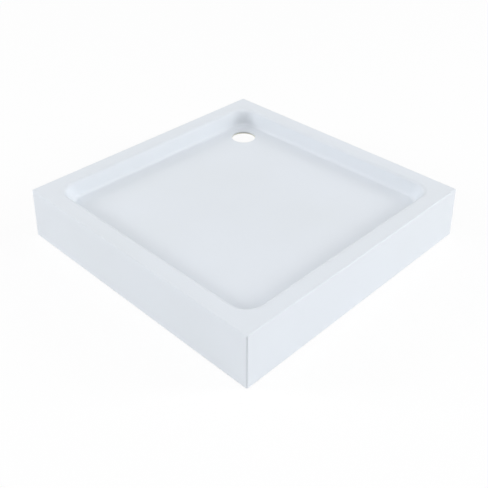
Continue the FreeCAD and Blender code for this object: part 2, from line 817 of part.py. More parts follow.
# ---------------------------------------------------------------- checks and files

doc.recompute()
for item in doc.Objects:
    assert "Invalid" not in item.State and "Error" not in item.State, f"{item.Name} failed: {item.State}"
for item, solids in NODES:
    shape = item.Shape
    assert not shape.isNull() and shape.isValid(), f"{item.Label} has no valid shape"
    assert len(shape.Solids) == solids, f"{item.Label} has {len(shape.Solids)} solids, not {solids}"
for item, solids in NODES:
    item.Shape.exportStep(f"parts/{item.Label}.step")
print(f"{len(NODES)} nodes written")
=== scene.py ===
import json
import math

import bmesh
import bpy
from mathutils import Matrix, Vector


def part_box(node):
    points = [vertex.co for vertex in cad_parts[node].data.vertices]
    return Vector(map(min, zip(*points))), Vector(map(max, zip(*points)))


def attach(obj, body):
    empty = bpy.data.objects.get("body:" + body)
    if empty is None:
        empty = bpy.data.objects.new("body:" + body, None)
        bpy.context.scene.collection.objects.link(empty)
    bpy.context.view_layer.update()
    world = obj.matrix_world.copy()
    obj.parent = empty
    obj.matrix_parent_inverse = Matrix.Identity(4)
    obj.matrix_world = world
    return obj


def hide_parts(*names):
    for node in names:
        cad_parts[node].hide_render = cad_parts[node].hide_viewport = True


QUARTER = math.pi / 2

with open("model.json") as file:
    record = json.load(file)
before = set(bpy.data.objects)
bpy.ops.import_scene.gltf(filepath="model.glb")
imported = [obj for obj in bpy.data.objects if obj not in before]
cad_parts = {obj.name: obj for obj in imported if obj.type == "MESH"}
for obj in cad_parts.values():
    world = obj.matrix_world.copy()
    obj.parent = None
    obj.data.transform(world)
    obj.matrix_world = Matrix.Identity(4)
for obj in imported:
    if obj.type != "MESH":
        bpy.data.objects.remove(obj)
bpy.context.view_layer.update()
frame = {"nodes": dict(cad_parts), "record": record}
bpy.context.scene.view_settings.view_transform = "Standard"


def add_object(name, data):
    """A new object in the scene."""
    made = bpy.data.objects.new(name, data)
    bpy.context.scene.collection.objects.link(made)
    return made


# ---------------------------------------------------------------- camera

CAMERA_SPOT = Vector((1.4084, -1.4407, 1.4357))
CAMERA_AIM = Vector((0.1148, -0.1195, 0.0796))
CAMERA_ROLL = math.radians(0.23)
CAMERA_LENS, SENSOR_WIDTH = 53.26, 36.0           # in millimetres
CAMERA_NEAR, CAMERA_FAR = 0.05, 50.0


def make_camera():
    """The camera that was fitted to the tray's corners."""
    data = bpy.data.cameras.new("camera")
    data.lens = CAMERA_LENS
    data.sensor_width = SENSOR_WIDTH
    data.clip_start, data.clip_end = CAMERA_NEAR, CAMERA_FAR
    made = add_object("camera", data)
    aimed = (CAMERA_AIM - CAMERA_SPOT).to_track_quat("-Z", "Y").to_matrix().to_4x4()
    rolled = Matrix.Rotation(CAMERA_ROLL, 4, "Z")
    made.matrix_world = Matrix.Translation(CAMERA_SPOT) @ aimed @ rolled
    bpy.context.scene.camera = made


make_camera()


# ---------------------------------------------------------------- materials

def srgb(r, g, b):
    """A colour written as 0-255 screen values."""
    def linear(value):
        value /= 255.0
        return value / 12.92 if value <= 0.04045 else ((value + 0.055) / 1.055) ** 2.4
    return (linear(r), linear(g), linear(b), 1.0)


class Material:
    """A node material with a Principled shader and object coordinates to hang detail on."""

    def __init__(self, name, colour, roughness, metallic=0.0):
        self.material = bpy.data.materials.new(name)
        self.material.use_nodes = True
        self.tree = self.material.node_tree
        self.shader = self.tree.nodes["Principled BSDF"]
        self.set("Base Color", colour)
        self.set("Roughness", roughness)
        self.set("Metallic", metallic)
        self.place = self.add("ShaderNodeTexCoord").outputs["Object"]

    def set(self, socket, value):
        self.shader.inputs[socket].default_value = value

    def add(self, kind, **settings):
        made = self.tree.nodes.new(kind)
        for name, value in settings.items():
            setattr(made, name, value)
        return made

    def link(self, start, end):
        self.tree.links.new(start, end)

    def feed(self, sockets, values):
        """Give each socket its value, which is a number, a colour or another node's output."""
        for socket, value in zip(sockets, values):
            if isinstance(value, bpy.types.NodeSocket):
                self.link(value, socket)
            else:
                socket.default_value = value

    def along(self, size, turn=(0.0, 0.0, 0.0), start=(0.0, 0.0, 0.0)):
        """Coordinates in which a feature of this size along three turned axes is one unit long."""
        made = self.add("ShaderNodeMapping", vector_type="TEXTURE")
        self.link(self.place, made.inputs["Vector"])
        made.inputs["Scale"].default_value = size
        made.inputs["Rotation"].default_value = turn
        made.inputs["Location"].default_value = start
        return made.outputs["Vector"]

    def warped(self, vector, scale, amount):
        """Coordinates pushed about by a noise."""
        push = self.add("ShaderNodeTexNoise")
        self.link(vector, push.inputs["Vector"])
        push.inputs["Scale"].default_value = scale
        middle = self.add("ShaderNodeVectorMath", operation="SUBTRACT")
        self.link(push.outputs["Color"], middle.inputs[0])
        middle.inputs[1].default_value = (0.5, 0.5, 0.5)
        sized = self.add("ShaderNodeVectorMath", operation="SCALE")
        self.link(middle.outputs["Vector"], sized.inputs["Vector"])
        sized.inputs["Scale"].default_value = amount
        moved = self.add("ShaderNodeVectorMath", operation="ADD")
        self.link(vector, moved.inputs[0])
        self.link(sized.outputs["Vector"], moved.inputs[1])
        return moved.outputs["Vector"]

    def noise(self, vector, scale, detail=4.0, roughness=0.5):
        """A cloudy value. The scale is in clouds per unit of the coordinates."""
        made = self.add("ShaderNodeTexNoise")
        self.link(vector, made.inputs["Vector"])
        made.inputs["Scale"].default_value = scale
        made.inputs["Detail"].default_value = detail
        made.inputs["Roughness"].default_value = roughness
        return made.outputs["Fac"]

    def cells(self, vector, scale):
        """Cells with a colour each, and the distance from each cell's middle."""
        made = self.add("ShaderNodeTexVoronoi")
        self.link(vector, made.inputs["Vector"])
        made.inputs["Scale"].default_value = scale
        return made.outputs

    def channels(self, colour):
        """The red, green and blue of a colour, as three values."""
        made = self.add("ShaderNodeSeparateColor")
        self.link(colour, made.inputs["Color"])
        return made.outputs

    def ramp(self, value, stops):
        """A colour ramp over stops of (place, colour)."""
        made = self.add("ShaderNodeValToRGB")
        self.link(value, made.inputs["Fac"])
        points = made.color_ramp.elements
        while len(points) < len(stops):
            points.new(0.5)
        for point, (at, colour) in zip(points, stops):
            point.position = at
            point.color = colour
        return made.outputs["Color"]

    def spread(self, value, to, source=(0.0, 1.0)):
        """A value moved from its source range to another."""
        made = self.add("ShaderNodeMapRange")
        self.link(value, made.inputs["Value"])
        made.inputs["From Min"].default_value, made.inputs["From Max"].default_value = source
        made.inputs["To Min"].default_value, made.inputs["To Max"].default_value = to
        return made.outputs["Result"]

    def mix(self, share, first, second):
        """A share of the second colour over the first."""
        made = self.add("ShaderNodeMix", data_type="RGBA")
        self.feed((made.inputs[0], made.inputs[6], made.inputs[7]), (share, first, second))
        return made.outputs[2]

    def maths(self, kind, first, second):
        made = self.add("ShaderNodeMath", operation=kind)
        self.feed(made.inputs, (first, second))
        return made.outputs[0]

    def colour_from(self, socket):
        self.link(socket, self.shader.inputs["Base Color"])

    def roughness_from(self, socket):
        self.link(socket, self.shader.inputs["Roughness"])

    def bump(self, height, distance):
        """Relief in the surface, this many metres high."""
        made = self.add("ShaderNodeBump")
        made.inputs["Strength"].default_value = 1.0
        made.inputs["Distance"].default_value = distance
        self.link(height, made.inputs["Height"])
        self.link(made.outputs["Normal"], self.shader.inputs["Normal"])


ACRYLIC_ROUGHNESS = 0.33
GLOSS_RIPPLE = 0.03                   # how far the roughness strays


def white_acrylic():
    """White sheet drawn over a former: even in colour, with a faint, slow ripple in its gloss."""
    made = Material("white_acrylic", srgb(230, 235, 240), ACRYLIC_ROUGHNESS)
    made.set("IOR", 1.49)
    slow = made.noise(made.place, 3.0, detail=2.0)
    made.colour_from(made.ramp(slow, [(0.3, srgb(229, 234, 239)), (0.7, srgb(231, 236, 242))]))
    gloss = made.noise(made.place, 9.0, detail=3.0)
    made.roughness_from(made.spread(
        gloss, to=(ACRYLIC_ROUGHNESS - GLOSS_RIPPLE, ACRYLIC_ROUGHNESS + GLOSS_RIPPLE)))
    made.bump(made.noise(made.place, 26.0, detail=1.0), 0.00006)
    return made.material


STRAND_SIZE = (0.034, 0.0011, 0.0011)
STRAND_TURNS = ((0.0, 0.2, 0.3), (0.4, 0.0, 1.1), (0.1, 0.9, 1.9),
                (0.0, 1.3, 2.6), (1.2, 0.5, 0.0), (0.7, 1.6, 0.9))


def glass_fibre_laminate():
    """Chopped strands in every direction, wetted out in a pale, faintly green resin."""
    made = Material("glass_fibre_laminate", srgb(214, 215, 194), 0.36)
    made.set("Coat Weight", 0.2)
    strands = None
    for turn in STRAND_TURNS:
        weave = made.noise(made.along(STRAND_SIZE, turn), 1.0, detail=0.0)
        line = made.spread(weave, to=(0.0, 1.0), source=(0.60, 0.68))
        strands = line if strands is None else made.maths("MAXIMUM", strands, line)
    resin = made.ramp(made.noise(made.place, 26.0, detail=4.0, roughness=0.6), [
        (0.3, srgb(196, 198, 170)), (0.55, srgb(208, 209, 184)), (0.8, srgb(220, 220, 200))])
    share = made.maths("MULTIPLY", strands, 0.7)
    made.colour_from(made.mix(share, resin, srgb(238, 239, 228)))
    made.roughness_from(made.spread(strands, to=(0.30, 0.50)))
    lumps = made.noise(made.place, 110.0, detail=2.0)
    made.bump(made.maths("ADD", strands, made.maths("MULTIPLY", lumps, 1.2)), 0.00014)
    return made.material


def polyester_paste():
    """Filled paste, spread with a board: drag marks, small pits and a chalky colour."""
    made = Material("polyester_paste", srgb(196, 190, 174), 0.62)
    blotch = made.noise(made.place, 30.0, detail=5.0, roughness=0.6)
    made.colour_from(made.ramp(blotch, [
        (0.25, srgb(176, 170, 154)), (0.55, srgb(196, 190, 174)), (0.8, srgb(210, 205, 190))]))
    made.roughness_from(made.spread(blotch, to=(0.55, 0.74)))
    drag = made.noise(made.along((0.09, 0.004, 0.004), (0.0, 0.0, 0.4)), 1.0, detail=3.0)
    bubbles = made.cells(made.place, 160.0)["Distance"]
    pits = made.spread(bubbles, to=(0.0, 1.0), source=(0.10, 0.28))
    made.bump(made.maths("ADD", drag, made.maths("MULTIPLY", pits, 0.5)), 0.0006)
    return made.material


def chipboard():
    """Pressed wood flakes, each with its own tone, and dark glue between them."""
    made = Material("chipboard", srgb(190, 158, 116), 0.72)
    flakes = made.cells(made.warped(made.along((0.0042, 0.0026, 0.0011)), 0.7, 1.2), 1.0)
    tone = made.channels(flakes["Color"])
    wood = made.ramp(tone["Red"], [
        (0.0, srgb(166, 132, 92)), (0.35, srgb(196, 165, 122)),
        (0.75, srgb(213, 186, 145)), (1.0, srgb(228, 207, 170))])
    gap = made.spread(flakes["Distance"], to=(0.0, 0.45), source=(0.55, 0.95))
    dust = made.noise(made.place, 420.0, detail=3.0)
    wood = made.mix(gap, wood, srgb(112, 82, 52))
    dusty = made.spread(dust, to=(0.0, 0.22), source=(0.4, 0.8))
    made.colour_from(made.mix(dusty, wood, srgb(228, 208, 172)))
    made.roughness_from(made.spread(dust, to=(0.62, 0.82)))
    made.bump(made.maths("SUBTRACT", tone["Green"], gap), 0.00025)
    return made.material


RING_PITH = (0.0, 0.0, 0.09)          # on the tree's middle line, away from the strips
RING_SCALE = 62.0                     # gives rings about 5 mm apart


def timber(name, turn):
    """Planed softwood: growth rings about a pith outside the strip, and fibres along it."""
    made = Material(name, srgb(208, 176, 128), 0.6)
    spot = made.warped(made.along((1.0, 1.0, 1.0), turn, RING_PITH), 2.2, 0.010)
    rings = made.add("ShaderNodeTexWave", wave_type="RINGS", rings_direction="X",
                     wave_profile="SAW")
    made.link(spot, rings.inputs["Vector"])
    rings.inputs["Scale"].default_value = RING_SCALE
    rings.inputs["Distortion"].default_value = 0.8
    rings.inputs["Detail"].default_value = 2.0
    rings.inputs["Detail Scale"].default_value = 0.4
    grain = rings.outputs["Fac"]
    fibre = made.noise(made.along((0.085, 0.0007, 0.0007), turn), 1.0, detail=4.0, roughness=0.6)
    wood = made.ramp(grain, [
        (0.0, srgb(222, 194, 148)), (0.62, srgb(208, 174, 124)),
        (0.9, srgb(166, 122, 76)), (1.0, srgb(214, 184, 136))])
    share = made.spread(fibre, to=(0.0, 0.35), source=(0.35, 0.75))
    made.colour_from(made.mix(share, wood, srgb(176, 138, 92)))
    made.roughness_from(made.spread(fibre, to=(0.5, 0.72)))
    made.bump(made.maths("ADD", fibre, made.maths("MULTIPLY", grain, 0.4)), 0.00018)
    return made.material


SPANGLE = 0.0055


def galvanised_steel():
    """Hot-dipped zinc: spangles a few millimetres across, each with its own tone and gloss."""
    made = Material("galvanised_steel", srgb(186, 190, 194), 0.38, metallic=1.0)
    spangles = made.cells(made.warped(made.along((SPANGLE, SPANGLE, SPANGLE)), 0.8, 0.7), 1.0)
    tone = made.channels(spangles["Color"])
    fern = made.noise(made.along((0.0030, 0.0006, 0.0030), (0.3, 0.2, 0.6)), 1.0, detail=3.0)
    value = made.maths("ADD", made.maths("MULTIPLY", tone["Red"], 0.75),
                       made.maths("MULTIPLY", fern, 0.25))
    made.colour_from(made.ramp(value, [
        (0.1, srgb(166, 170, 175)), (0.5, srgb(182, 186, 190)), (0.9, srgb(200, 203, 206))]))
    made.roughness_from(made.spread(value, to=(0.48, 0.32), source=(0.1, 0.9)))
    made.bump(made.maths("ADD", tone["Green"], made.maths("MULTIPLY", fern, 0.3)), 0.00005)
    return made.material


def zinc_plated_steel():
    """Bright zinc plate on turned and rolled steel, with the passivation's blue and straw tints."""
    made = Material("zinc_plated_steel", srgb(196, 200, 205), 0.30, metallic=1.0)
    tint = made.noise(made.place, 55.0, detail=3.0)
    made.colour_from(made.ramp(tint, [
        (0.3, srgb(184, 192, 204)), (0.55, srgb(200, 202, 204)), (0.75, srgb(206, 200, 184))]))
    fine = made.noise(made.along((0.002, 0.002, 0.00025)), 1.0, detail=4.0)
    made.roughness_from(made.spread(fine, to=(0.22, 0.42)))
    made.bump(fine, 0.00002)
    return made.material


def black_polypropylene():
    """Moulded plastic with a fine spark-eroded grain."""
    made = Material("black_polypropylene", srgb(34, 34, 36), 0.48)
    grain = made.cells(made.place, 1500.0)["Distance"]
    wear = made.noise(made.place, 120.0, detail=4.0, roughness=0.6)
    made.colour_from(made.ramp(wear, [
        (0.35, srgb(30, 30, 32)), (0.62, srgb(38, 38, 40)), (0.85, srgb(56, 56, 58))]))
    made.roughness_from(made.spread(wear, to=(0.40, 0.60)))
    made.bump(grain, 0.00006)
    return made.material


def rubber_sole():
    """Dull rubber with a bloom of pale dust."""
    made = Material("rubber_sole", srgb(48, 47, 46), 0.82)
    bloom = made.noise(made.place, 200.0, detail=5.0, roughness=0.65)
    made.colour_from(made.ramp(bloom, [
        (0.35, srgb(42, 41, 40)), (0.65, srgb(54, 53, 51)), (0.9, srgb(86, 84, 80))]))
    made.roughness_from(made.spread(bloom, to=(0.74, 0.92)))
    made.bump(made.noise(made.place, 900.0, detail=2.0), 0.00008)
    return made.material


ACROSS_TIMBER = timber("timber_left_to_right", (0.0, 0.0, 0.0))
DEEP_TIMBER = timber("timber_front_to_back", (0.0, 0.0, QUARTER))

MATERIALS = {
    "white_acrylic": white_acrylic(),
    "glass_fibre_laminate": glass_fibre_laminate(),
    "polyester_paste": polyester_paste(),
    "chipboard": chipboard(),
    "timber": ACROSS_TIMBER,
    "galvanised_steel": galvanised_steel(),
    "zinc_plated_steel": zinc_plated_steel(),
    "black_polypropylene": black_polypropylene(),
    "rubber_sole": rubber_sole(),
}


def paint(node, material):
    """Put one material on a CAD node."""
    for place in frame["nodes"][node].material_slots:
        place.material = material


for subpart in frame["record"]["subparts"]:
    paint(subpart["node"], MATERIALS[subpart["material_slot"]])
for deep_batten in ("rim_batten_left", "rim_batten_right"):
    paint(deep_batten, DEEP_TIMBER)


# ---------------------------------------------------------------- skins in mesh code

ROUND = 48                            # steps round a turned piece
SHARP_ANGLE = math.radians(32)        # faces that meet at more than this keep a sharp edge
SAME_SPOT = 1e-7                      # points this close are one


class Skin:
    """Closed skins through rings of points, kept in one mesh. Sizes are in metres."""

    def __init__(self, middle=(0.0, 0.0, 0.0)):
        self.mesh = bmesh.new()
        self.middle = Vector(middle)

    def point(self, out, angle, up):
        """A point at a reach, an angle and a height from the middle."""
        return self.mesh.verts.new(
            self.middle + Vector((out * math.cos(angle), out * math.sin(angle), up)))

    def ring(self, reach, height, steps=ROUND):
        """A ring of points. The reach and the height are numbers, or functions of the angle."""
        points = []
        for at in range(steps):
            angle = 2 * math.pi * at / steps
            out = reach(angle) if callable(reach) else reach
            up = height(angle) if callable(height) else height
            points.append(self.point(out, angle, up))
        return points

    def band(self, low, high):
        """Faces between two rings."""
        for at in range(len(low)):
            after = (at + 1) % len(low)
            self.mesh.faces.new((low[at], low[after], high[after], high[at]))

    def join(self, rings, closed=False):
        """Faces between rings. The first and the last ring are joined, or each gets a cap."""
        for low, high in zip(rings, rings[1:]):
            self.band(low, high)
        if closed:
            self.band(rings[-1], rings[0])
        else:
            self.mesh.faces.new(rings[0][::-1])
            self.mesh.faces.new(rings[-1])

    def lathe(self, profile, steps=ROUND):
        """A skin turned from a profile of (reach, height)."""
        self.join([self.ring(reach, height, steps) for reach, height in profile])

    def weld(self):
        bmesh.ops.remove_doubles(self.mesh, verts=self.mesh.verts, dist=SAME_SPOT)

    def to_object(self, name):
        """The object that holds the skins, which are used up."""
        bmesh.ops.recalc_face_normals(self.mesh, faces=self.mesh.faces)
        mesh = bpy.data.meshes.new(name)
        self.mesh.to_mesh(mesh)
        self.mesh.free()
        return add_object(name, mesh)

    def finished(self, name, node, body):
        """The skins become a piece that rides on a body and stands for a CAD node."""
        self.weld()
        made = self.to_object(name)
        smooth(made.data)
        slot = next(row["material_slot"] for row in frame["record"]["subparts"]
                    if row["node"] == node)
        made.data.materials.append(MATERIALS[slot])
        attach(made, body)
        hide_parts(node)


def smooth(mesh):
    """Smooth shading that stops at sharp edges."""
    mesh.shade_smooth()
    mesh.set_sharp_from_angle(angle=SHARP_ANGLE)


def upright_box(node):
    """A CAD node's lowest and highest corners, and the middle of its plan."""
    low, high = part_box(node)
    return low, high, ((low[0] + high[0]) / 2, (low[1] + high[1]) / 2, 0.0)


# ---------------------------------------------------------------- feet and screws

NUT_FLATS, WRENCH_FLATS = 0.018, 0.017
TURNED_SHARE = 0.475                  # reach of a hexagon's end face, as a share of its flats
TURNED_SLOPE = math.tan(math.radians(30))

THREAD_REACH = 0.006
THREAD_PITCH = 0.00175
THREAD_DEPTH = 0.00095
THREAD_ROOT = THREAD_REACH - THREAD_DEPTH
THREAD_END = THREAD_ROOT - 0.00025    # where the thread has run out
THREAD_STEPS = 20                     # in one turn
# One pitch of the thread's section, as (share of the pitch, reach): root, flank and crest.
THREAD_SHAPE = ((0.0, THREAD_ROOT), (0.25, THREAD_ROOT),
                (0.5625, THREAD_REACH), (0.6875, THREAD_REACH))

BORE_REACH = 0.00605
BORE_SINK = 0.0007
WRENCH_LOW, WRENCH_HIGH = 0.024, 0.032
NECK_LENGTH, NECK_ROUND = 0.003, 0.0006
SPINDLE_BEVEL = 0.0012


def hexagon(flats):
    """The reach of a hexagon at an angle, with a corner on the X axis."""
    def reach(angle):
        return flats / 2 / math.cos(angle % (math.pi / 3) - math.pi / 6)
    return reach


def hexagon_rings(skin, flats, low, high):
    """The four rings of a hexagon whose corners are turned off at both ends."""
    reach = hexagon(flats)
    turned = TURNED_SHARE * flats

    def drop(angle):
        return max(0.0, reach(angle) - turned) * TURNED_SLOPE
    return [skin.ring(turned, low), skin.ring(reach, lambda angle: low + drop(angle)),
            skin.ring(reach, lambda angle: high - drop(angle)), skin.ring(turned, high)]


def make_nut(name, node, body):
    """A hexagon nut with turned corners and a countersunk bore."""
    low, high, middle = upright_box(node)
    skin = Skin(middle)
    bottom, top, mouth = low[2], high[2], BORE_REACH + BORE_SINK
    rings = hexagon_rings(skin, NUT_FLATS, bottom, top)
    rings += [skin.ring(mouth, top), skin.ring(BORE_REACH, top - BORE_SINK),
              skin.ring(BORE_REACH, bottom + BORE_SINK), skin.ring(mouth, bottom)]
    skin.join(rings, closed=True)
    skin.finished(name, node, body)


def cut_thread(skin, low, high):
    """A rolled thread between two heights, which runs out into a cone at both ends."""
    columns = []
    for step in range(-THREAD_STEPS, THREAD_STEPS * math.ceil((high - low) / THREAD_PITCH) + 1):
        angle = 2 * math.pi * step / THREAD_STEPS
        column = []
        for share, reach in THREAD_SHAPE:
            up = min(max(low + THREAD_PITCH * (step / THREAD_STEPS + share), low), high)
            out = min(reach, THREAD_END + (up - low), THREAD_END + (high - up))
            column.append(skin.point(out, angle, up))
        columns.append(column)
    last = len(THREAD_SHAPE) - 1
    for at, (here, after) in enumerate(zip(columns, columns[1:])):
        for row in range(last):
            skin.mesh.faces.new((here[row], after[row], after[row + 1], here[row + 1]))
        above = columns[at + THREAD_STEPS:at + THREAD_STEPS + 2]
        if len(above) == 2:
            skin.mesh.faces.new((here[last], after[last], above[1][0], above[0][0]))
    skin.weld()
    open_edges = [edge for edge in skin.mesh.edges if edge.is_boundary]
    bmesh.ops.holes_fill(skin.mesh, edges=open_edges, sides=0)


def make_spindle(name, node, body):
    """The foot's spindle: journal, its own hexagon, neck and thread."""
    low, high, middle = upright_box(node)
    skin = Skin(middle)
    neck_top = WRENCH_HIGH + NECK_LENGTH
    cut_thread(skin, neck_top, high[2])
    skin.lathe([(THREAD_REACH - SPINDLE_BEVEL, low[2]), (THREAD_REACH, low[2] + SPINDLE_BEVEL),
                (THREAD_REACH, WRENCH_LOW)])
    skin.join(hexagon_rings(skin, WRENCH_FLATS, WRENCH_LOW, WRENCH_HIGH))
    skin.lathe([(THREAD_ROOT + NECK_ROUND, WRENCH_HIGH), (THREAD_ROOT, WRENCH_HIGH + NECK_ROUND),
                (THREAD_END, neck_top)])
    skin.finished(name, node, body)


SOLE_STEPS = 64
SOLE_TOP_EDGE, SOLE_EDGE = 0.0002, 0.0006
GROOVE_INSET, GROOVE_PITCH = 0.0035, 0.0045       # first groove from the edge, then each next
GROOVE_WIDTH, GROOVE_DEPTH, GROOVE_SLOPE = 0.0016, 0.0008, 0.0003
GROOVE_LEAST = 0.006                  # no groove is smaller than this


def make_sole(name, node, body):
    """A rubber sole with ring grooves in its face and a turned edge."""
    low, high, middle = upright_box(node)
    skin = Skin(middle)
    reach = (high[0] - low[0]) / 2
    bottom, top = low[2], high[2]
    profile = [(reach - SOLE_TOP_EDGE, top), (reach, top - SOLE_TOP_EDGE),
               (reach, bottom + SOLE_EDGE), (reach - SOLE_EDGE, bottom)]
    groove = reach - GROOVE_INSET
    while groove > GROOVE_LEAST:
        profile += [(groove, bottom), (groove - GROOVE_SLOPE, bottom + GROOVE_DEPTH),
                    (groove - GROOVE_WIDTH + GROOVE_SLOPE, bottom + GROOVE_DEPTH),
                    (groove - GROOVE_WIDTH, bottom)]
        groove -= GROOVE_PITCH
    skin.lathe(profile, steps=SOLE_STEPS)
    skin.finished(name, node, body)


HEAD_HEIGHT = 0.003
# The head's outside from its edge to its face, as (reach, height above the face).
PAN_HEAD = ((0.0047, 0.0016), (0.0042, 0.0007), (0.0034, 0.0002), (0.0028, 0.0))
HEAD_SEAT, HEAD_REACH, HEAD_EDGE = 0.0046, 0.0048, 0.0003
RECESS_DEPTH = 0.0015
RECESS_TOP, RECESS_FOOT = (0.0023, 0.00048), (0.0017, 0.00038)     # arm and half width
TIP_REACH, CORE_REACH, CREST_REACH, NECK_REACH = 0.0002, 0.0017, 0.00235, 0.0022
POINT_LENGTH, NECK_RISE = 0.004, 0.0006
FIRST_CREST = 0.0052                  # from the tip
COARSE_PITCH, COARSE_FLANK = 0.0016, 0.0007


def cross(arm, half_width):
    """The reach of a cross-shaped recess at an angle."""
    def reach(angle):
        along, across = abs(math.cos(angle)), abs(math.sin(angle))
        first = min(arm / max(along, 1e-9), half_width / max(across, 1e-9))
        second = min(arm / max(across, 1e-9), half_width / max(along, 1e-9))
        return max(first, second)
    return reach


def make_screws(name, node, spots, body):
    """Pan-head screws with a cross recess, and a coarse thread that runs to a point."""
    low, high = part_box(node)
    face, tip = low[2], high[2]
    under = face + HEAD_HEIGHT
    skin = Skin()
    for x, y in spots:
        skin.middle = Vector((x, y, 0.0))
        rings = [skin.ring(TIP_REACH, tip), skin.ring(CORE_REACH, tip - POINT_LENGTH)]
        turn = tip - FIRST_CREST
        while turn > under + COARSE_PITCH:
            rings += [skin.ring(CREST_REACH, turn), skin.ring(CORE_REACH, turn - COARSE_FLANK)]
            turn -= COARSE_PITCH
        rings += [skin.ring(CORE_REACH, under + NECK_RISE), skin.ring(NECK_REACH, under),
                  skin.ring(HEAD_SEAT, under), skin.ring(HEAD_REACH, under - HEAD_EDGE)]
        rings += [skin.ring(reach, face + up) for reach, up in PAN_HEAD]
        rings += [skin.ring(cross(*RECESS_TOP), face),
                  skin.ring(cross(*RECESS_FOOT), face + RECESS_DEPTH)]
        skin.join(rings)
    skin.finished(name, node, body)


# ---------------------------------------------------------------- moulding

# The section of the CAD's own moulding, with sharper upright corners.
TRAY_HALF = 0.500                     # over the apron's bottom edge
RIM_Z, APRON_Z = 0.181, 0.003
FLARE = 0.0075                        # how far the apron leans out from rim to bottom edge
CORNER, RIM_EDGE = 0.0052, 0.0050     # the apron's upright corners and its top edge
BASIN_HALF, BASIN_DEPTH, WALL_RUN = 0.4335, 0.055, 0.0138
RIM_CORNER, FLOOR_CORNER = 0.060, 0.064
RIM_ROLL, FLOOR_ROLL = 0.013, 0.013
FLOOR_FALL, WASTE_PLACE, WASTE_REACH = 0.008, 0.330, 0.045
SHEET = 0.004
TRIM_Z, RETURN, TRIM_REACH, TRIM_ROUND = 0.121, 0.048, 0.030, 0.024

LEAST_EDGE, LEAST_CORNER, LEAST_BEND = 0.0005, 0.0006, 0.0003      # rounds on the hidden side
RIM_MARGIN, FLOOR_MARGIN = 0.006, 0.010           # flat rings beside the rolls
ARC_STEPS, SIDE_STEPS, ROLL_STEPS, TRIM_STEPS, WASTE_STEPS = 12, 8, 8, 12, 96
CUT_LOW, WASTE_CUT_LOW, WASTE_CUT_HIGH = -0.02, 0.05, 0.16         # heights clear of the sheet


def square_ring(skin, half, corner, height, share=0.0):
    """A rounded square of points, raised by a share of the floor's fall."""
    middle = half - corner
    side = [(half, middle * (2 * at / SIDE_STEPS - 1)) for at in range(SIDE_STEPS)]
    bends = [QUARTER * at / ARC_STEPS for at in range(ARC_STEPS)]
    arc = [(middle + corner * math.cos(bend), middle + corner * math.sin(bend)) for bend in bends]
    points = []
    for turn in range(4):
        spin = Matrix.Rotation(QUARTER * turn, 3, "Z")
        for x, y in side + arc:
            spot = spin @ Vector((x, y, height))
            rise = FLOOR_FALL * ((spot.x - spot.y) / math.sqrt(2) + WASTE_PLACE * math.sqrt(2))
            points.append(skin.mesh.verts.new(spot + Vector((0.0, 0.0, share * rise))))
    return points


def apron_rings(skin, depth):
    """The rings of the apron this deep behind its face, from its bottom edge to the rim."""
    flare = FLARE / (RIM_Z - APRON_Z)
    lean = math.atan(flare)
    bottom = TRAY_HALF - depth * math.hypot(1.0, flare)
    edge = max(RIM_EDGE - depth, LEAST_EDGE)
    corner = max(CORNER - depth, LEAST_CORNER)
    top = RIM_Z - depth
    stop = top - edge * (1 - math.sin(lean))
    rings = []
    for share in (0.0, 0.5, 1.0):
        height = APRON_Z + (stop - APRON_Z) * share
        half = bottom - (height - APRON_Z) * math.tan(lean)
        rings.append(square_ring(skin, half, corner, height))
    across = bottom - (stop - APRON_Z) * math.tan(lean) - edge * math.cos(lean)
    for step in range(1, ROLL_STEPS + 1):
        angle = lean + (QUARTER - lean) * step / ROLL_STEPS
        out = edge * math.cos(angle)
        bend = max(corner - edge * math.cos(lean) + out, LEAST_BEND)
        rings.append(square_ring(skin, across + out, bend, top - edge * (1 - math.sin(angle))))
    return rings


def basin_rings(skin, depth):
    """The rings of the basin this deep behind its face, from the rim to the floor."""
    top = RIM_Z - depth
    floor = top - BASIN_DEPTH
    wall = math.hypot(BASIN_DEPTH, WALL_RUN)
    steep = math.atan2(BASIN_DEPTH, WALL_RUN)
    half = BASIN_HALF + depth * (wall - WALL_RUN) / BASIN_DEPTH
    rim_roll, floor_roll = RIM_ROLL - depth, FLOOR_ROLL + depth
    start = half + rim_roll * math.tan(steep / 2)
    end = half - WALL_RUN - floor_roll * math.tan(steep / 2)

    section = [(start + RIM_MARGIN, top)]
    for step in range(ROLL_STEPS + 1):
        angle = steep * step / ROLL_STEPS
        section.append((start - rim_roll * math.sin(angle), top - rim_roll * (1 - math.cos(angle))))
    for step in range(ROLL_STEPS + 1):
        angle = steep * (1 - step / ROLL_STEPS)
        section.append((end + floor_roll * math.sin(angle),
                        floor + floor_roll * (1 - math.cos(angle))))
    section.append((end - FLOOR_MARGIN, floor))

    rim_middle = BASIN_HALF - RIM_CORNER
    corner_lean = (BASIN_HALF - WALL_RUN - FLOOR_CORNER - rim_middle) / BASIN_DEPTH
    rings = []
    for out, height in section:
        middle = rim_middle + corner_lean * (top + depth - height)
        rings.append(square_ring(skin, out, out - middle, height, (top - height) / BASIN_DEPTH))
    return rings


def uncut_moulding():
    """The moulding before it is trimmed: its face, its back and the edge between them."""
    skin = Skin()
    face, back = [apron_rings(skin, depth) + basin_rings(skin, depth) for depth in (0.0, SHEET)]
    for rings in (face, back):
        for low, high in zip(rings, rings[1:]):
            skin.band(low, high)
        skin.mesh.faces.new(rings[-1])
    skin.band(face[0], back[0])
    return skin.to_object("tray_moulding")


def waste_cutter():
    """What is cut for the waste."""
    skin = Skin((-WASTE_PLACE, WASTE_PLACE, 0.0))
    skin.lathe([(WASTE_REACH, WASTE_CUT_LOW), (WASTE_REACH, WASTE_CUT_HIGH)], steps=WASTE_STEPS)
    return skin.to_object("cut_waste")


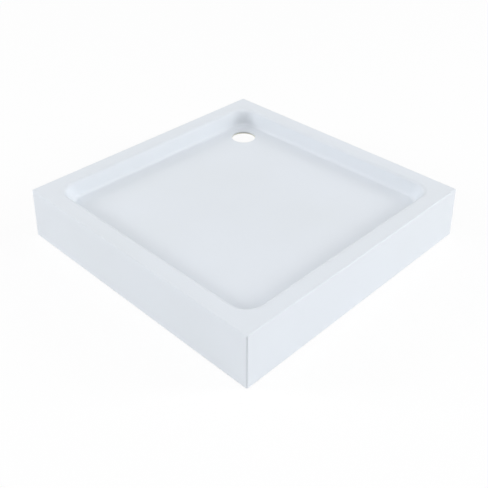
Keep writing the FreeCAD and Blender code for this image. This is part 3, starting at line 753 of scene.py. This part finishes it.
def wall_side_cutter(name, on_left):
    """What is cut from a wall side: along the skirt, with a round where it meets the return."""
    start, far = RETURN - TRAY_HALF, TRAY_HALF + TRIM_REACH
    section = [(start, CUT_LOW), (start, TRIM_Z - TRIM_ROUND)]
    for step in range(1, TRIM_STEPS + 1):
        angle = QUARTER * step / TRIM_STEPS
        section.append((start + TRIM_ROUND * (1 - math.cos(angle)),
                        TRIM_Z - TRIM_ROUND * (1 - math.sin(angle))))
    section += [(far, TRIM_Z), (far, CUT_LOW)]
    skin = Skin()
    skin.join([[skin.mesh.verts.new((-out, along, up) if on_left else (-along, out, up))
                for along, up in section] for out in (TRAY_HALF - TRIM_REACH, far)])
    return skin.to_object(name)


def cut_away(made, cutters):
    """Cut shapes out of an object for good, and clear them from the scene."""
    for cutter in cutters:
        cut = made.modifiers.new(cutter.name, "BOOLEAN")
        cut.operation = "DIFFERENCE"
        cut.solver = "EXACT"
        cut.object = cutter
    bpy.context.view_layer.update()
    uncut = made.data
    graph = bpy.context.evaluated_depsgraph_get()
    made.data = bpy.data.meshes.new_from_object(made.evaluated_get(graph))
    made.modifiers.clear()
    bpy.data.meshes.remove(uncut)
    for cutter in cutters:
        spare = cutter.data
        bpy.data.objects.remove(cutter)
        bpy.data.meshes.remove(spare)


def make_moulding():
    """The trimmed moulding, which stands for the CAD's own."""
    made = uncut_moulding()
    cut_away(made, [waste_cutter(), wall_side_cutter("cut_left", True),
                    wall_side_cutter("cut_back", False)])
    made.data.name = "tray_moulding"
    made.data.materials.clear()
    made.data.materials.append(MATERIALS["white_acrylic"])
    smooth(made.data)
    steady = made.modifiers.new("flat_faces_stay_flat", "WEIGHTED_NORMAL")
    steady.keep_sharp = True
    steady.weight = 90
    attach(made, "tray")
    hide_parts("tray_shell")


make_moulding()

for foot in range(1, 6):
    make_nut(f"foot_{foot}_weld_nut_turned", f"foot_{foot}_weld_nut", "tray")
    make_nut(f"foot_{foot}_lock_nut_turned", f"foot_{foot}_lock_nut", "tray")
    make_spindle(f"foot_{foot}_spindle_threaded", f"foot_{foot}_spindle", f"foot_{foot}_screw")
    make_sole(f"foot_{foot}_sole_grooved", f"foot_{foot}_sole", f"foot_{foot}")

SCREW_REACH = 0.030                   # screws either side of a rail's middle line
RAIL_SCREWS, BRACKET_SCREWS = (-0.262, 0.262), (0.0,)              # along the rail
for rail, middle_y, along_rail in (("rail_front", -0.300, RAIL_SCREWS),
                                   ("rail_back", 0.190, RAIL_SCREWS),
                                   ("centre_bracket", -0.055, BRACKET_SCREWS)):
    screw_spots = [(x, middle_y + side) for x in along_rail for side in (-SCREW_REACH, SCREW_REACH)]
    make_screws(f"{rail}_screws_recessed", f"{rail}_screws", screw_spots, "tray")


# ---------------------------------------------------------------- stage and light

STAGE_HALF = 12.0
FLOOR_Z = -0.0005                     # just under the soles
FLOOR_GLOW = 0.90                     # share of the floor's white that no shadow takes away
FLOOR_PAINT = (0.88, 0.89, 0.90, 1.0)
WHITE = (1.0, 1.0, 1.0, 1.0)
ROOM_LEVEL = 0.270                    # the studio's own light, where 1 is a white room
ROOM_COLOUR = (0.97, 0.98, 1.0, 1.0)

LIGHT_DISTANCE = 10.0
LEFT, FRONT, RIGHT = -45.6, 44.4, 134.4           # azimuths; the camera is in front
# Name, azimuth, elevation, share of a white room's light, length of a side, and whether it is
# mirrored in the object. The side lights aren't, because they burn out the floor in low views.
SOFT_BOXES = (
    ("right_box", RIGHT, 22, 0.370, 2.8, False),
    ("right_low_box", RIGHT, 8, 0.090, 2.8, False),
    ("right_high_box", RIGHT, 45, 0.120, 2.8, False),
    ("left_box", LEFT, 22, 0.390, 2.8, False),
    ("left_high_box", LEFT, 45, 0.070, 2.8, False),
    ("front_box", FRONT, 35, 0.122, 4.0, False),
    ("top_box", FRONT, 85, 0.185, 4.0, True),
)


def seen_straight(tree):
    """1 for rays that show the background itself: from the camera, mirrored or through glass."""
    path = tree.nodes.new("ShaderNodeLightPath")
    value = path.outputs["Is Camera Ray"]
    for name in ("Is Glossy Ray", "Is Transmission Ray"):
        larger = tree.nodes.new("ShaderNodeMath")
        larger.operation = "MAXIMUM"
        tree.links.new(value, larger.inputs[0])
        tree.links.new(path.outputs[name], larger.inputs[1])
        value = larger.outputs[0]
    return value


def coloured(tree, kind, colour):
    """A shader of one colour."""
    made = tree.nodes.new(kind)
    made.inputs["Color"].default_value = colour
    return made


def mixed(tree, share, first, second):
    """A mix of two shader nodes. The share is a number or another node's output."""
    made = tree.nodes.new("ShaderNodeMixShader")
    if isinstance(share, bpy.types.NodeSocket):
        tree.links.new(share, made.inputs[0])
    else:
        made.inputs[0].default_value = share
    tree.links.new(first.outputs[0], made.inputs[1])
    tree.links.new(second.outputs[0], made.inputs[2])
    return made


def make_floor():
    """A white floor that keeps the object's shadow. Seen from below, it isn't there."""
    mesh = bpy.data.meshes.new("floor")
    corners = [(-STAGE_HALF, -STAGE_HALF, 0), (STAGE_HALF, -STAGE_HALF, 0),
               (STAGE_HALF, STAGE_HALF, 0), (-STAGE_HALF, STAGE_HALF, 0)]
    mesh.from_pydata(corners, [], [(0, 1, 2, 3)])
    made = add_object("floor", mesh)
    made.location.z = FLOOR_Z
    material = bpy.data.materials.new("floor_white")
    material.use_nodes = True
    tree = material.node_tree
    tree.nodes.clear()
    lit = coloured(tree, "ShaderNodeBsdfDiffuse", FLOOR_PAINT)
    white = coloured(tree, "ShaderNodeBsdfDiffuse", WHITE)
    shown = mixed(tree, FLOOR_GLOW, white, tree.nodes.new("ShaderNodeEmission"))
    above = mixed(tree, seen_straight(tree), lit, shown)
    from_below = tree.nodes.new("ShaderNodeNewGeometry").outputs["Backfacing"]
    whole = mixed(tree, from_below, above, tree.nodes.new("ShaderNodeBsdfTransparent"))
    output = tree.nodes.new("ShaderNodeOutputMaterial")
    tree.links.new(whole.outputs[0], output.inputs["Surface"])
    mesh.materials.append(material)


def make_world():
    """A studio that lights the object softly, and is white where it is seen."""
    world = bpy.data.worlds.new("studio")
    bpy.context.scene.world = world
    world.use_nodes = True
    tree = world.node_tree
    tree.nodes.clear()
    room = coloured(tree, "ShaderNodeBackground", ROOM_COLOUR)
    room.inputs["Strength"].default_value = ROOM_LEVEL
    white = coloured(tree, "ShaderNodeBackground", WHITE)
    white.inputs["Strength"].default_value = 1.0
    output = tree.nodes.new("ShaderNodeOutputWorld")
    shown = mixed(tree, seen_straight(tree), room, white)
    tree.links.new(shown.outputs[0], output.inputs["Surface"])


def soft_box(name, azimuth, elevation, level, side, mirrored):
    """A square light at an azimuth and elevation in degrees, turned to the object."""
    turn, rise = math.radians(azimuth), math.radians(elevation)
    away = Vector((math.sin(turn) * math.cos(rise), -math.cos(turn) * math.cos(rise),
                   math.sin(rise)))
    data = bpy.data.lights.new(name, "AREA")
    data.shape = "SQUARE"
    data.size = side
    data.energy = level * (math.pi * LIGHT_DISTANCE) ** 2
    made = add_object(name, data)
    made.location = away * LIGHT_DISTANCE
    made.rotation_mode = "QUATERNION"
    made.rotation_quaternion = away.to_track_quat("Z", "Y")
    made.visible_glossy = mirrored


make_floor()
make_world()
for box in SOFT_BOXES:
    soft_box(*box)
